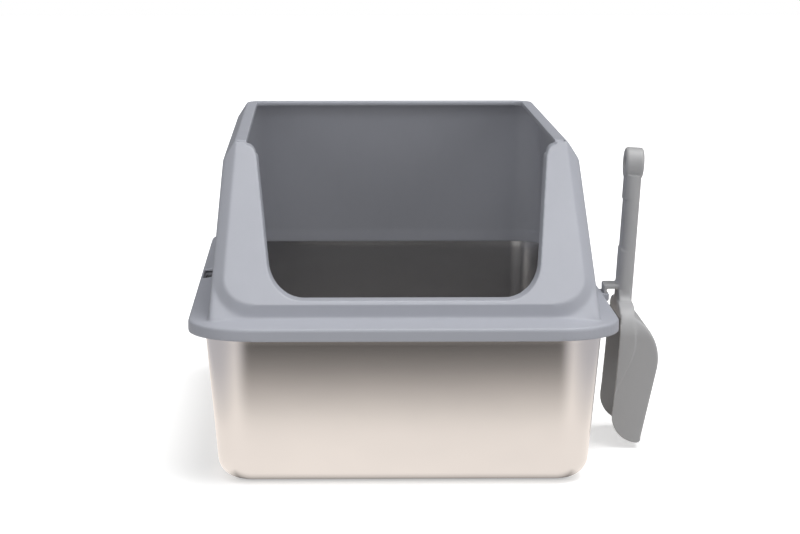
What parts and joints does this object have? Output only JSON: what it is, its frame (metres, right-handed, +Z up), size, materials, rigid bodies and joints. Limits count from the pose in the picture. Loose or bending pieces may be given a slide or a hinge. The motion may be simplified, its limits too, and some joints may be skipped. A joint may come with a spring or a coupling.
{
  "type": "top entry litter box",
  "caption": "High-sided open-top cat litter box: steel pan, clip-over plastic enclosure with a raked front entrance, and a sifting scoop hung on its side.",
  "frame": {"origin": "middle of the pan's flat underside; the pads reach 2 mm below it", "axes": "+Z up, -Y towards the front with the entrance, +X towards the side with the scoop"},
  "size_m": [0.4539, 0.6, 0.307],
  "materials": {
    "steel": "satin drawn stainless sheet, 0.8 mm",
    "moulding": "cool grey injection moulding, fine satin",
    "scoop_plastic": "neutral grey injection moulding, satin",
    "pad_rubber": "dark soft rubber"
  },
  "bodies": {
    "pan": {"steel_pan": "steel", "pad_front_left": "pad_rubber", "pad_front_right": "pad_rubber", "pad_back_left": "pad_rubber", "pad_back_right": "pad_rubber"},
    "enclosure": {"enclosure": "moulding"},
    "scoop": {"scoop": "scoop_plastic"}
  },
  "joints": [
    {"name": "enclosure_lift", "type": "slide", "parent": "pan", "child": "enclosure", "axis": [0, 0, 1], "range_m": [0, 0.2]},
    {"name": "scoop_lift", "type": "slide", "parent": "enclosure", "child": "scoop", "axis": [0, 0, 1], "range_m": [0, 0.2]}
  ]
}
